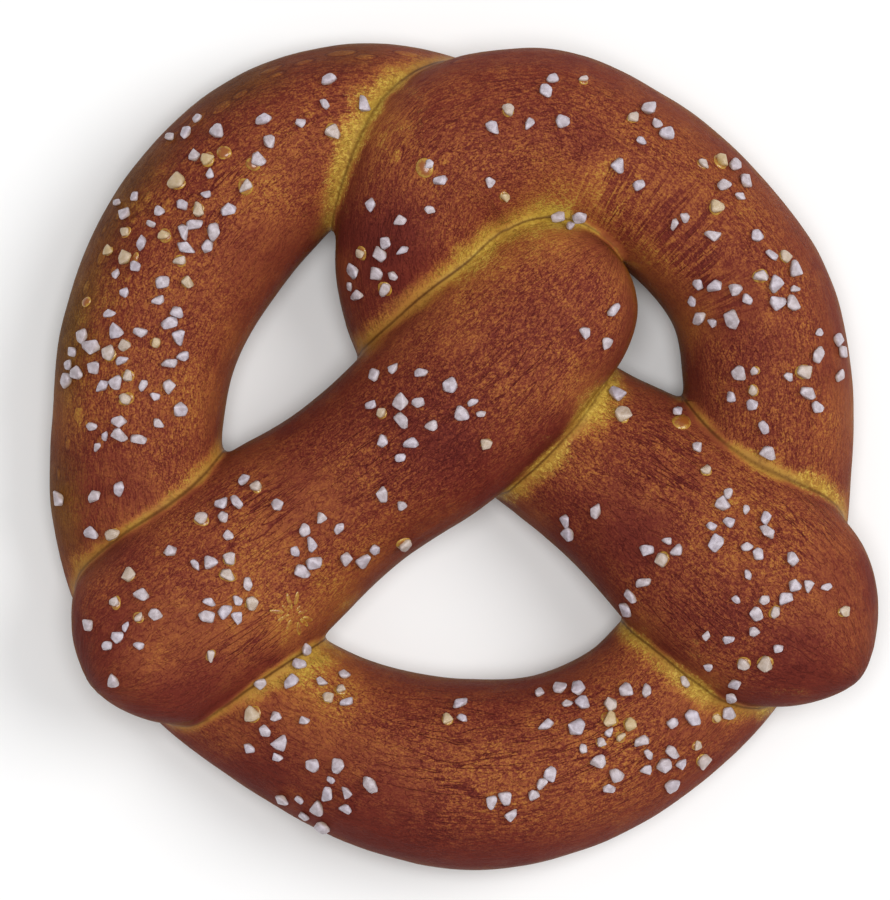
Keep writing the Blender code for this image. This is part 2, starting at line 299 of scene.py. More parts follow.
# Patches of the skin: x, y, radius and, if not one, how strongly; first, how much all of a kind count.
patches = {
    # the wet patches also gather the painted glint flecks
    "wet": (1.4, [  # where a crease is brightest and moist
        (-14, 57, 14), (-19, 47, 9), (-20, 40, 6), (13, 38, 8, 0.55), (4, 31, 10, 0.85), (22, 11, 9),
        (14, 1, 8), (6, -9, 9), (-23, -38, 9, 0.6), (-19, -27, 8), (54, -42, 8), (40, -36, 9),
        (30, -28, 7), (-37, 3, 7), (60, -5, 8),
    ]),
    "smooth": (1.6, [  # fainter pores
        (-52, -34, 20), (-38, -34, 14), (-31, -47, 14), (-16, -56, 14), (-60, -8, 14), (-28, -8, 12),
        (60, -34, 14), (66, -18, 12), (44, 26, 10), (28, -12, 11), (-34, 34, 10), (-12, 33, 12),
        (68, 16, 14), (40, -42, 10),
    ]),
    "olive": (1, [  # underbaked rims on the flanks
        (-68, 22, 24), (-60, 48, 20, 0.9), (-40, 66, 17, 0.8), (-20, 72, 12, 0.6), (-68, -8, 16, 0.8),
    ]),
    "bend": (1.4, [(26, 43, 11), (36, 38, 12), (43, 28, 10, 0.6)]),  # wrinkled across, inside a bend
    "furrow": (1, [  # furrowed along the rope
        (-36, -31, 11), (37, -28, 12), (35, -2, 13), (58, -10, 13), (0, -50, 24), (-34, -10, 13),
        (9, 13, 11), (-15, 0, 11), (-40, 46, 14), (24, -49, 16),
    ]),
    "blister": (1, [
        (-58, 40, 18), (-44, 58, 18), (-25, 64, 14), (-62, 18, 14), (-8, 62, 14), (-66, 2, 10), (-6, 50, 9),
    ]),
}
skinMarks = ("crease", "fold", "joint", "upness", "baked", "ruddy", *patches)


def ropePlaces(crust, tubes):
    # for each point: along the rope, round it from below, its strand's crown, and how far off that strand
    angleLayer = tubes.verts.layers.float["angle"]
    alongLayer = tubes.verts.layers.float["along"]
    crownLayer = tubes.verts.layers.float["crown"]
    tree = BVHTree.FromBMesh(tubes)
    places = []
    for vertex in crust.data.vertices:
        spot, _, index, off = tree.find_nearest(vertex.co)
        corners = tubes.faces[index].verts
        shares = poly_3d_calc([corner.co for corner in corners], spot)
        turns = [(corner[angleLayer] + 0.5 * math.pi) % (2 * math.pi) for corner in corners]
        if max(turns) - min(turns) > math.pi:
            turns = [value - 2 * math.pi if value > math.pi else value for value in turns]
        along = sum(share * corner[alongLayer] for share, corner in zip(shares, corners))
        turn = sum(share * value for share, value in zip(shares, turns))
        crown = sum(share * corner[crownLayer] for share, corner in zip(shares, corners))
        places.append((along, turn, crown, off))
    return places


def patchValue(x, y, spots):
    total = 0
    for px, py, radius, *amount in spots:
        near = 1 - ((x - px) ** 2 + (y - py) ** 2) / radius**2
        if near > 0:
            total += near * near * (amount[0] if amount else 1)
    return total


def creaseShares(crust, tubes, places):
    # nought in a crease and one where its pale band ends; and the mm to the joint, below nought on top
    alongLayer = tubes.verts.layers.float["along"]
    crownLayer = tubes.verts.layers.float["crown"]
    points = [vert.co for vert in tubes.verts]
    chunks = {}
    for face in tubes.faces:
        along = sum(vert[alongLayer] for vert in face.verts) / len(face.verts)
        chunks.setdefault(int(along // skin["chunk"]), []).append(face)
    trees = []
    for key, faces in sorted(chunks.items()):
        tree = BVHTree.FromPolygons(points, [[vert.index for vert in face.verts] for face in faces])
        crowns = [face.verts[0][crownLayer] for face in faces]
        trees.append((key * skin["chunk"], (key + 1) * skin["chunk"], tree, crowns))
    shares = []
    joints = []
    for vertex, (along, _, crown, off) in zip(crust.data.vertices, places):
        share = 1
        joint = skin["creaseReach"]
        for start, stop, tree, crowns in trees:
            if start - skin["ownReach"] < along < stop + skin["ownReach"]:
                continue
            _, _, index, distance = tree.find_nearest(vertex.co, skin["creaseReach"] * mm)
            if index is None:
                continue
            width = skin["widthBelow"] if crown < crowns[index] else skin["widthAbove"]
            if knobAt - skin["knobReach"] < along <= knobAt:
                width = skin["widthKnob"]
            wider = patchValue(vertex.co.x / mm, vertex.co.y / mm, creaseWidths)
            width *= max(skin["leastWidth"], 1 + wider)
            share = min(share, distance / mm / width)
            gap = (distance - off) / mm
            if gap < abs(joint):
                joint = gap if crown < crowns[index] else -gap
        shares.append(share)
        joints.append(joint)
    return shares, joints


def foldShares(mesh, places):
    # one along the line where a strand meets another, falling to nought beside it
    ends = np.empty(len(mesh.edges) * 2, np.int32)
    mesh.edges.foreach_get("vertices", ends)
    starts, stops = ends.reshape(-1, 2).T
    along = np.array([place[0] for place in places])
    torn = np.abs(along[starts] - along[stops]) > skin["ownReach"]
    fold = np.zeros(len(along))
    fold[starts[torn]] = 1
    fold[stops[torn]] = 1
    neighbours = np.bincount(ends, minlength=len(along))
    for _ in range(skin["foldSpread"]):
        near = np.bincount(starts, fold[stops], len(along)) + np.bincount(stops, fold[starts], len(along))
        fold = 0.5 * fold + 0.5 * near / neighbours
    return np.minimum(1, fold / skin["foldPeak"])


def facing(normal, x, y):
    return normal.x * x + normal.y * y


def unevenness(place, along, around):
    # how far the skin rises or sinks, in mm
    size, height = skin["undulation"]
    lift = height * noise.noise(place / size)
    size, height = skin["lumps"]
    lift += height * noise.noise(place / size + skin["lumpsFrom"])
    length, width, depth = skin["furrows"]
    across = (around[0] / width, around[1] / width + skin["furrowsFrom"])
    return lift + depth * noise.noise(Vector((along / length, *across)))


def finishSkin(crust, tubes):
    # each point is marked for the material, then moved a little in or out
    places = ropePlaces(crust, tubes)
    creases, joints = creaseShares(crust, tubes, places)
    mesh = crust.data
    folds = foldShares(mesh, places)
    for name in skinMarks:
        mesh.attributes.new(name, "FLOAT", "POINT")
    mesh.attributes.new("ropePlace", "FLOAT_VECTOR", "POINT")
    layers = {name: mesh.attributes[name].data for name in skinMarks}
    ropeLayer = mesh.attributes["ropePlace"].data
    normals = [vertex.normal.copy() for vertex in mesh.vertices]
    *shadedSide, shadeDepth = skin["shadedSide"]
    for i, (vertex, normal, (along, turn, _, _)) in enumerate(zip(mesh.vertices, normals, places)):
        place = vertex.co / mm
        around = (-skin["roundness"] * math.cos(turn), skin["roundness"] * math.sin(turn))
        ropeLayer[i].vector = (along, *around)
        marks = {"crease": creases[i], "fold": folds[i], "joint": joints[i], "upness": normal.z}
        # painted shade: the flanks that face the shaded side are darker, added to the stretches' browning
        marks["baked"] = patchValue(place.x, place.y, browning) + shadeDepth * facing(normal, *shadedSide)
        marks["ruddy"] = max(0, facing(normal, *skin["ruddySide"]))
        for name, (strength, spots) in patches.items():
            marks[name] = min(1, strength * patchValue(place.x, place.y, spots))
        if along <= knobAt:
            marks["bend"] = 0  # the strand above isn't wrinkled
        for name, value in marks.items():
            layers[name][i].value = value
        if place.z > 0:
            vertex.co += normal * unevenness(place, along, around) * mm * min(1, place.z / skin["evenBelow"])
            vertex.co.z = max(vertex.co.z, 0)


def crustAt(tree, x, y):
    # the crust's top at x and y in mm, and the way it faces
    spot, normal, _, _ = tree.ray_cast(Vector((x * mm, y * mm, 1)), Vector((0, 0, -1)))
    return spot, normal


def newPiece(name, bm):
    mesh = bpy.data.meshes.new(name)
    bm.to_mesh(mesh)
    bm.free()
    piece = bpy.data.objects.new(name, mesh)
    bpy.context.scene.collection.objects.link(piece)
    return piece


finishSkin(crust, tubes)
tubes.free()
crust.data.shade_smooth()
print("crust finished,", len(crust.data.polygons), "faces")

# Coarse salt, thrown on in patches: x and y of the middle, radius in mm, number of grains.
# The values down to routeStep are the solid's own, so each grain lies where the solid has one.
salt = {
    "seed": 71,
    "leftLobe": [
        (-24, 59, 8, 5), (-46, 55, 5, 4), (-32, 51, 6, 3), (-43, 46, 7, 9), (-55, 42, 6, 6),
        (-45, 38, 6, 7), (-58, 34, 5, 5), (-49, 29, 4, 3), (-59, 22, 6, 8), (-49, 21, 6, 6),
        (-62, 15, 5, 8), (-51, 11, 6, 7), (-60, 4, 6, 6), (-64, -8, 9, 5),
    ],
    "leftArm": [
        (-57, -26, 7, 9), (-41, -22, 6, 11), (-44, -13, 6, 5), (-58, -34, 4, 2), (-34, -6, 6, 4),
        (-24, -16, 6, 8), (-38, -33, 7, 2), (-12, -15, 7, 3), (-9, 11, 7, 9), (-9, 4, 5, 4), (1, 6, 5, 4),
        (-7, -4, 8, 2), (24, 21, 5, 3), (18, 37, 5, 3),
    ],
    "bow": [
        (-24, -38, 7, 9), (-32, -48, 6, 6), (-20, -53, 6, 6), (-26, -57, 6, 6), (-2, -41, 4, 3),
        (9, -56, 5, 5), (14, -49, 7, 2), (16, -42, 5, 7), (28, -43, 6, 5), (26, -52, 6, 9),
        (40, -42, 7, 9), (38, -52, 5, 5),
    ],
    "rightLobe": [
        (-15, 30, 5, 8), (-14, 38, 6, 4), (-4, 45, 6, 3), (3, 43, 4, 2), (4, 58, 4, 2), (17, 57, 7, 5),
        (29, 52, 7, 7), (43, 46, 5, 7), (39, 39, 4, 3), (49, 36, 6, 4), (42, 26, 5, 7), (52, 28, 5, 6),
        (62, 17, 5, 5), (57, 11, 4, 4), (47, 10, 6, 5), (53, 3, 4, 2),
    ],
    "rightArm": [
        (26, 9, 3, 2), (38, 4, 4, 2), (43, -5, 4, 2), (46, -12, 5, 8), (20, -13, 5, 3), (35, -20, 6, 5),
        (28, -26, 4, 2), (43, -26, 6, 4), (53, -21, 6, 8), (48, -32, 5, 4), (60, -24, 6, 2),
    ],
    "regions": ("leftLobe", "leftArm", "bow", "rightLobe", "rightArm"),
    "length": (2.1, 3.6),
    "slender": (0.6, 0.95),  # width as a share of the length
    "thick": (0.5, 0.75),
    "points": 8,
    "stretch": (0.82, 1.12),
    "twist": 0.35,
    "sunk": 0.2,  # share of the thickness
    "gap": 2.1,  # mm between the middles of two grains
    "edgeMargin": 1.6,
    "tries": 60,
    "routeStep": 2.4,
    "grown": 1.12,  # makes up for the worn edges
    "flatTop": 0.25,  # share of the thickness, above the middle, where the top is broken off flat
    "rounding": 0.24,  # mm that the edges are worn off
    "softened": 0.4,
    "stainedShare": 0.2,
    "stainedShade": (0.15, 0.7),
    "cleanShade": (0, 0.12),
    "footStain": 1.3,  # how strongly the foot of every grain is stained
    "footHeight": 0.56,  # share of the thickness that counts as the foot
}

# Beads of glaze that dried on the crust: x, y and radius in mm.
glaze = {
    "seed": 5,
    "beads": [
        (-6.5, 48.2, 1.7), (-40.2, 51.0, 1.3), (-35.3, 49.0, 1.5), (36.7, 5.8, 1.8), (-63.5, 26.0, 1.2),
        (-55.0, 33.5, 0.8),
    ],
    "burstAt": (-28.5, -26.3),
    "burstStrokes": 11,
    "burstLength": (1.2, 3.3),
    "burstTurn": (0.2, 0.8),  # where in its share of the circle a stroke lies
    "burstAway": (0.7, 1.3),  # and how many lengths from the middle
    "strokeSides": (0.38, 0.13),  # half its width and height, mm
    "strokeThin": 0.3,
    "halo": 0.44,  # share of a stained grain's length that its bead reaches
    "spread": (0.9, 1.1),
    "slender": (0.7, 0.95),
    "height": 0.3,  # as a share of the radius
    "sunk": 0.25,  # share of the height
    "ripple": (1.4, 0.22),  # size and height in mm
    "roundness": 2,  # subdivisions of each bead
}


def saltPlaces():
    # the same seeded throw as the solid's grains
    route = smoothRoute(rope["leftArm"], salt["routeStep"]) + smoothRoute(rope["theRest"], salt["routeStep"])
    rng = random.Random(salt["seed"])
    places = []
    for x, y, radius, count in [patch for region in salt["regions"] for patch in salt[region]]:
        for _ in range(count):
            for _ in range(salt["tries"]):
                reach = radius * math.sqrt(rng.random())
                turn = rng.uniform(0, 2 * math.pi)
                place = (x + reach * math.cos(turn), y + reach * math.sin(turn))
                apart = all(math.dist(place, other) > salt["gap"] for other in places)
                onRope = any(math.dist(place, s[:2]) < s[2] - salt["edgeMargin"] for s in route)
                if apart and onRope:
                    places.append(place)
                    break
    return places


def crystalPoints(bm, rng, length, width, thickness):
    # scattered evenly over a flattened ball, a little in and out
    goldenAngle = math.pi * (3 - math.sqrt(5))
    points = []
    for k in range(salt["points"]):
        rise = 1 - 2 * (k + 0.5) / salt["points"]
        turn = k * goldenAngle + rng.uniform(-salt["twist"], salt["twist"])
        flat = math.sqrt(1 - rise * rise)
        stretch = 0.5 * rng.uniform(*salt["stretch"])
        point = (length * flat * math.cos(turn), width * flat * math.sin(turn), thickness * rise)
        points.append(bm.verts.new(Vector(point) * stretch * salt["grown"]))
    return points


def addGrain(bm, rng):
    # a crushed crystal: the hull of scattered points, its top broken off flat and its edges worn
    length = rng.uniform(*salt["length"])
    width = length * rng.uniform(*salt["slender"])
    thickness = length * rng.uniform(*salt["thick"])
    points = crystalPoints(bm, rng, length, width, thickness)
    hull = bmesh.ops.convex_hull(bm, input=points)
    unused = only(bmesh.types.BMVert, hull["geom_unused"] + hull["geom_interior"])
    bmesh.ops.delete(bm, geom=unused, context="VERTS")
    verts = [vert for vert in points if vert.is_valid]
    edges = {edge for vert in verts for edge in vert.link_edges}
    faces = {face for vert in verts for face in vert.link_faces}
    cut = bmesh.ops.bisect_plane(
        bm, geom=[*verts, *edges, *faces], plane_co=(0, 0, thickness * salt["flatTop"]), plane_no=(0, 0, 1),
        clear_outer=True,
    )
    rim = only(bmesh.types.BMEdge, cut["geom_cut"])
    if rim:
        bmesh.ops.edgeloop_fill(bm, edges=rim)
    verts = {vert for vert in only(bmesh.types.BMVert, cut["geom"]) if vert.is_valid}
    worn = bmesh.ops.bevel(
        bm, geom=list({edge for vert in verts for edge in vert.link_edges}), offset=salt["rounding"],
        offset_type="OFFSET", segments=1, profile=0.5, affect="EDGES", clamp_overlap=True, material=-1,
    )
    verts = list({vert for face in worn["faces"] for vert in face.verts})
    bmesh.ops.smooth_vert(
        bm, verts=verts, factor=salt["softened"], use_axis_x=True, use_axis_y=True, use_axis_z=True,
    )
    return verts, thickness, length


def layGrains(crust):
    # also gives the places where glaze pools round a stained grain: x, y and radius
    polygons = [tuple(polygon.vertices) for polygon in crust.data.polygons]
    tree = BVHTree.FromPolygons([vertex.co for vertex in crust.data.vertices], polygons)
    shapes = random.Random(salt["seed"] + 1)
    stains = random.Random(salt["seed"] + 2)
    bm = bmesh.new()
    tint = bm.verts.layers.float.new("tint")
    wet = []
    for x, y in saltPlaces():
        verts, thickness, length = addGrain(bm, shapes)
        spin = shapes.uniform(0, 2 * math.pi)
        spot, normal = crustAt(tree, x, y)
        stained = stains.random() < salt["stainedShare"]
        shade = stains.uniform(*salt["stainedShade"] if stained else salt["cleanShade"])
        if stained:
            wet.append((x, y, glaze["halo"] * length))
        lay = (
            Matrix.Translation(spot + normal * thickness * (0.5 - salt["sunk"]) * mm)
            @ normal.to_track_quat("Z", "Y").to_matrix().to_4x4()
            @ Matrix.Rotation(spin, 4, "Z")
            @ Matrix.Scale(mm, 4)
        )
        for vert in verts:
            foot = max(0, salt["footHeight"] - 0.5 - vert.co.z / thickness)
            vert[tint] = min(1, shade + salt["footStain"] * foot)
        bmesh.ops.transform(bm, matrix=lay, verts=verts)
    bmesh.ops.recalc_face_normals(bm, faces=bm.faces)
    grains = newPiece("coarseSalt", bm)
    grains.data.shade_smooth()
    return grains, wet, tree


def addBead(bm, tree, x, y, turn, shape, least=0):
    # a flattened ball, pressed a little way into the crust, its length turned to one side
    thin = bm.verts.layers.float["thin"]
    spot, normal = crustAt(tree, x, y)
    lay = (
        Matrix.Translation(spot - normal * shape[2] * glaze["sunk"] * mm)
        @ Vector((0, 0, 1)).rotation_difference(normal).to_matrix().to_4x4()
        @ Matrix.Rotation(turn, 4, "Z")
        @ Matrix.Diagonal((*[side * mm for side in shape], 1))
    )
    verts = bmesh.ops.create_icosphere(bm, subdivisions=glaze["roundness"], radius=1)["verts"]
    for vert in verts:
        vert[thin] = max(least, 1 - abs(vert.co.z))
    bmesh.ops.transform(bm, matrix=lay, verts=verts)


def layGlaze(tree, wet):
    # beads of dried glaze, one round each stained grain and a few on their own, and a burst of short strokes
    rng = random.Random(glaze["seed"])
    bm = bmesh.new()
    bm.verts.layers.float.new("thin")
    for x, y, reach in [*glaze["beads"], *wet]:
        radius = reach * rng.uniform(*glaze["spread"])
        shape = (radius, radius * rng.uniform(*glaze["slender"]), radius * glaze["height"])
        addBead(bm, tree, x, y, rng.uniform(0, 2 * math.pi), shape)
    middleX, middleY = glaze["burstAt"]
    for k in range(glaze["burstStrokes"]):
        turn = 2 * math.pi * (k + rng.uniform(*glaze["burstTurn"])) / glaze["burstStrokes"]
        length = rng.uniform(*glaze["burstLength"])
        away = length * rng.uniform(*glaze["burstAway"])
        x, y = middleX + away * math.cos(turn), middleY + away * math.sin(turn)
        addBead(bm, tree, x, y, turn, (0.5 * length, *glaze["strokeSides"]), glaze["strokeThin"])
    size, height = glaze["ripple"]
    for vert in bm.verts:
        vert.co += vert.normal * noise.noise(vert.co / mm / size) * height * mm
    beads = newPiece("driedGlaze", bm)
    beads.data.shade_smooth()
    return beads


grains, wet, crustTree = layGrains(crust)
print("salt laid,", len(grains.data.polygons), "faces")
beads = layGlaze(crustTree, wet)
print("glaze laid,", len(beads.data.polygons), "faces")


def srgb(*screen):
    # a colour as read off a screen, 0 to 255, in the linear values that a shader takes
    shares = [value / 255 for value in screen]
    return (*[share / 12.92 if share < 0.0404 else ((share + 0.055) / 1.055) ** 2.4 for share in shares], 1)


crustLook = {
    "bakeAndShade": [  # from the palest crease to the darkest flank
        (0.0, srgb(190, 158, 64)),
        (0.14, srgb(176, 130, 58)),
        (0.28, srgb(164, 104, 50)),
        (0.42, srgb(149, 84, 46)),
        (0.56, srgb(129, 65, 41)),
        (0.72, srgb(107, 44, 34)),
        (1.0, srgb(80, 28, 25)),
    ],
    "oliveBake": [(0.3, srgb(150, 112, 44)), (0.55, srgb(108, 73, 26)), (0.85, srgb(80, 50, 20))],
    "crumbPale": srgb(126, 77, 12),
    "creaseGlow": srgb(170, 135, 54),
    "crumbGap": srgb(112, 72, 30),
    "foldShadow": srgb(74, 38, 18),
    "ruddy": srgb(104, 30, 20),
    # painted highlight: bright yellow flecks that stand in for glints on the wet creases
    "paintedGlint": srgb(214, 184, 84),
    "gloss": 0.05,
    # noises: repeats per mm, detail, roughness and distortion
    "speckles": {
        "broad": (0.055, 1),
        "smoother": (0.13, 1),
        "edge": (0.22, 1),
        "blotches": (0.3, 2),
        "crumb": (1.6, 2, 0.65, 0.8),
        "grain": (3.2, 1, 0.6),
    },
    # the same for the noises that follow the rope: repeats per mm along it and across it first
    "ropeNoises": {
        "streaks": (0.14, 0.5, 2),
        "pores": (1.25, 2.2, 2, 0.55, 0.6),
        "wrinkles": (0.22, 0.7, 2, 0.55, 1.6),
        "furrows": (0.07, 0.6, 2, 0.5, 0.4),
        "bends": (1.55, 0.17, 1, 0.5, 0.4),
    },
    "wrinkleLines": (0.5, 0.03),  # a line runs where the noise has the first value, fading within the second
    "furrowLines": (0.5, 0.026),
    "bendPale": 0.3,  # the ribs of a bend are this much paler between their dark lines
    "blisterCells": (0.26, 0.36),  # repeats per mm, along and across
    "blisterLot": 0.52,  # share of the cells that stay empty
    "blisterSize": (0.7, 0.45),  # the lot of a blister of usual size, and how much smaller a higher one is
    "blisterRim": (0.4, 0.06),  # how far the rim runs from the middle, and how wide it is, in cells
    # how brown the skin is by itself, and how much browner each pattern makes it
    "middle": 0.65,
    "browner": {"broad": 0.16, "blotches": 0.12, "streaks": 0.13, "rim": 0.15, "dome": -0.17},
    "mottle": {"pores": 0.25, "grain": 0.22},
    "lines": {"wrinkles": 0.17, "furrows": 0.32, "bends": 0.25},
    # painted light: the tops that face up are made paler, as if lit from above
    "litTopPaler": -0.1,
    "creasePaler": -0.36,
    "olivePattern": 0.75,  # how much of the pattern shows on an olive rim
    "ragged": {"edge": 1.0, "grain": 0.1},  # what makes the edge of a crease's band ragged
    "flank": {"blotches": 0.3, "grain": 0.12},  # and the edge of the pale rim low on the flanks
    "relief": {"pores": -0.05, "wrinkles": -0.06, "furrows": -0.12, "bends": -0.12, "dome": 0.12},  # mm
    # where each thing fades in or out: the value from, the value to, and its strength at one and the other
    "fades": {
        "calm": (0.2, 0.7, 1, 0),
        "topPattern": (0.4, 0.92, 0.25, 1),
        "litTopPaler": (0.35, 0.9),
        "smoother": (0.36, 0.6, 0.85, 1.1),
        "smoothPatch": (0, 1, 1, 0.45),
        "pores": (0.34, 0.66),
        "grain": (0.34, 0.66),
        "wrinkleOffBend": (0, 0.5, 1, 0),
        "bends": (0.4, 0.57, 1, 0),
        "bendOffCrease": (0.55, 1),
        "bendUneven": (0.36, 0.6, 0.7, 1.25),
        "blisterPatch": (0.1, 0.5),
        "blisterUp": (0.1, 0.5),
        "dome": (0.28, 0.37, 1, 0),
        "creasePaler": (0.15, 1.05, 1, 0),
        "glow": (0.05, 0.75, 1, 0),
        "glowWet": (0, 1, 0.34, 0.7),
        "gap": (0.38, 0.47, 0.42, 0),
        "gapCrease": (0.3, 1, 1, 0),
        "paintedGlint": (0.55, 0.61, 0, 0.5),
        "speckWet": (0.25, 0.9),
        "speckCrease": (0.4, 1, 1, 0),
        "flankPale": (0, 0.36, 0.75, 0),
        "flankOlive": (0.6, 0.97, 0.85, 0),
        "ruddy": (0.2, 1, 0, 0.34),
        "ruddyOffCrease": (0.5, 1),
        "fold": (0.4, 1, 0, 0.22),
        "jointLine": (0.05, 0.6, 0.8, 0),  # mm from the joint
        "jointCrease": (0.5, 0.95, 1, 0),
        "jointUneven": (0.36, 0.64, 0.55, 1),
        "roughness": (0.2, 1, 0.4, 0.56),
    },
}

saltLook = {
    "clouds": (1.1, 3),  # repeats per mm and detail
    "cloudFade": (0.35, 0.65),
    "grey": srgb(168, 157, 166),
    "white": srgb(193, 184, 195),
    "stain": srgb(190, 160, 84),
    "relief": 0.12,  # mm
    "roughness": 0.4,
    "milky": 0.3,
    "milkyDepth": 0.6,  # mm
}

glazeLook = {
    "clouds": (1.6, 3),
    "cloudShare": 1.2,
    "thinFade": (0.15, 0.75),
    "thick": srgb(142, 80, 34),
    "thin": srgb(186, 146, 58),
    "roughness": 0.2,
    "gloss": 0.6,
}


def addNode(tree, kind, inputs, **settings):
    node = tree.nodes.new(kind)
    for name, value in settings.items():
        setattr(node, name, value)
    for key, value in inputs.items():
        if isinstance(value, bpy.types.NodeSocket):
            tree.links.new(value, node.inputs[key])
        else:
            node.inputs[key].default_value = value
    return node


def newMaterial(name):
    material = bpy.data.materials.new(name)
    material.use_nodes = True
    return material, material.node_tree, material.node_tree.nodes["Principled BSDF"]


def calc(tree, operation, *values):
    return addNode(tree, "ShaderNodeMath", dict(enumerate(values)), operation=operation).outputs[0]


def product(tree, first, *others):
    for other in others:
        first = calc(tree, "MULTIPLY", first, other)
    return first


def addShares(tree, total, values, amounts):
    # adds the named values, each times its amount
    for name, amount in amounts.items():
        total = calc(tree, "MULTIPLY_ADD", values[name], amount, total)
    return total


def spread(tree, value, low, high, toLow=0, toHigh=1):
    inputs = {"Value": value, "From Min": low, "From Max": high, "To Min": toLow, "To Max": toHigh}
    return addNode(tree, "ShaderNodeMapRange", inputs, interpolation_type="SMOOTHSTEP").outputs[0]


def fade(tree, value, name):
    return spread(tree, value, *crustLook["fades"][name])


def ridge(tree, value, middle, width):
    # one where the value is the middle one, nought further off than the width
    off = calc(tree, "ABSOLUTE", calc(tree, "SUBTRACT", value, middle))
    return spread(tree, off, 0, width, 1, 0)


def mixColors(tree, share, first, second):
    return addNode(tree, "ShaderNodeMix", {0: share, 6: first, 7: second}, data_type="RGBA").outputs[2]


def colorRamp(tree, value, stops):
    ramp = addNode(tree, "ShaderNodeValToRGB", {0: value})
    elements = ramp.color_ramp.elements
    while len(elements) < len(stops):
        elements.new(0.5)
    for element, (position, color) in zip(elements, stops):
        element.position = position
        element.color = color
    return ramp.outputs[0]


def scaled(tree, vector, scale):
    return addNode(tree, "ShaderNodeMapping", {"Vector": vector, "Scale": scale}).outputs[0]


def attribute(tree, name, output="Fac"):
    return addNode(tree, "ShaderNodeAttribute", {}, attribute_name=name).outputs[output]


def relief(tree, shader, height):
    bump = addNode(tree, "ShaderNodeBump", {"Height": height, "Distance": mm, "Strength": 1.0})
    tree.links.new(bump.outputs[0], shader.inputs["Normal"])


def speckleGroup():
    # the noise that crust, salt and glaze share, its size given in repeats per mm
    group = bpy.data.node_groups.new("speckle", "ShaderNodeTree")
    for name in ("Repeats per mm", "Detail", "Roughness", "Distortion"):
        group.interface.new_socket(name, in_out="INPUT", socket_type="NodeSocketFloat")
    group.interface.new_socket("Value", in_out="OUTPUT", socket_type="NodeSocketFloat")
    given = addNode(group, "NodeGroupInput", {}).outputs
    place = scaled(group, addNode(group, "ShaderNodeTexCoord", {}).outputs["Object"], (1 / mm,) * 3)
    inputs = {"Vector": place, "Scale": given["Repeats per mm"]}
    inputs.update({name: given[name] for name in ("Detail", "Roughness", "Distortion")})
    value = addNode(group, "ShaderNodeTexNoise", inputs).outputs[0]
    addNode(group, "NodeGroupOutput", {"Value": value})
    return group


speckles = speckleGroup()


def speckle(tree, repeats, detail, roughness=0.5, distortion=0):
    inputs = {"Repeats per mm": repeats, "Detail": detail, "Roughness": roughness, "Distortion": distortion}
    return addNode(tree, "ShaderNodeGroup", inputs, node_tree=speckles).outputs["Value"]


def ropeNoise(tree, along, across, detail, roughness=0.5, distortion=0):
    place = scaled(tree, attribute(tree, "ropePlace", "Vector"), (along, across, across))
    inputs = {"Scale": 1, "Detail": detail, "Roughness": roughness, "Distortion": distortion}
    return addNode(tree, "ShaderNodeTexNoise", {"Vector": place, **inputs}).outputs[0]


def skinPatterns(tree, marks, noises):
    # noises that go half above and half below nought, and lines that are one where they run
    evenly = ("broad", "blotches", "streaks", "edge")
    found = {name: calc(tree, "SUBTRACT", noises[name], 0.5) for name in evenly}
    for name in ("pores", "grain"):
        found[name] = calc(tree, "SUBTRACT", fade(tree, noises[name], name), 0.5)
    wrinkles = ridge(tree, noises["wrinkles"], *crustLook["wrinkleLines"])
    found["wrinkles"] = product(tree, wrinkles, fade(tree, marks["bend"], "wrinkleOffBend"))
    furrows = ridge(tree, noises["furrows"], *crustLook["furrowLines"])
    found["furrows"] = product(tree, furrows, marks["furrow"])
    bends = calc(tree, "SUBTRACT", fade(tree, noises["bends"], "bends"), crustLook["bendPale"])
    offCrease = fade(tree, marks["crease"], "bendOffCrease")
    uneven = fade(tree, noises["blotches"], "bendUneven")
    found["bends"] = product(tree, bends, marks["bend"], offCrease, uneven)
    return found


def blisterPatterns(tree, marks, calm):
    # cells drawn by lot: pale domes, each with a browner rim
    along, across = crustLook["blisterCells"]
    place = scaled(tree, attribute(tree, "ropePlace", "Vector"), (along, across, across))
    cells = addNode(tree, "ShaderNodeTexVoronoi", {"Vector": place, "Scale": 1.0})
    lot = addNode(tree, "ShaderNodeSeparateColor", {0: cells.outputs["Color"]}).outputs[0]
    drawn = calc(tree, "GREATER_THAN", lot, crustLook["blisterLot"])
    inPatch = fade(tree, marks["blister"], "blisterPatch")
    chosen = product(tree, drawn, inPatch, fade(tree, marks["upness"], "blisterUp"), calm)
    middle, growth = crustLook["blisterSize"]
    lot = calc(tree, "SUBTRACT", lot, middle)
    fromMiddle = calc(tree, "MULTIPLY_ADD", lot, growth, cells.outputs["Distance"])
    rim = product(tree, ridge(tree, fromMiddle, *crustLook["blisterRim"]), chosen)
    return {"rim": rim, "dome": product(tree, fade(tree, fromMiddle, "dome"), chosen)}


def howBrownAndShaded(tree, marks, noises, patterns, calm, ragged):
    # the pattern shows most on top, less on the flanks, and not at all in a fold; the tone also carries the
    # painted light on the tops and the painted shade on one side
    topShare = product(tree, fade(tree, marks["upness"], "topPattern"), calm)
    topShare = calc(tree, "MAXIMUM", topShare, product(tree, marks["olive"], crustLook["olivePattern"]))
    topShare = product(tree, topShare, fade(tree, noises["smoother"], "smoother"))
    mottle = addShares(tree, 0, patterns, crustLook["mottle"])
    mottle = product(tree, mottle, fade(tree, marks["smooth"], "smoothPatch"))
    mottle = addShares(tree, mottle, patterns, crustLook["lines"])
    bakeAndShade = calc(tree, "ADD", marks["baked"], crustLook["middle"])
    bakeAndShade = addShares(tree, bakeAndShade, patterns, crustLook["browner"])
    bakeAndShade = calc(tree, "MULTIPLY_ADD", mottle, topShare, bakeAndShade)
    # painted light on the tops that face up, then the creases' own paleness
    for value, name in ((marks["upness"], "litTopPaler"), (ragged, "creasePaler")):
        bakeAndShade = calc(tree, "MULTIPLY_ADD", fade(tree, value, name), crustLook[name], bakeAndShade)
    return bakeAndShade


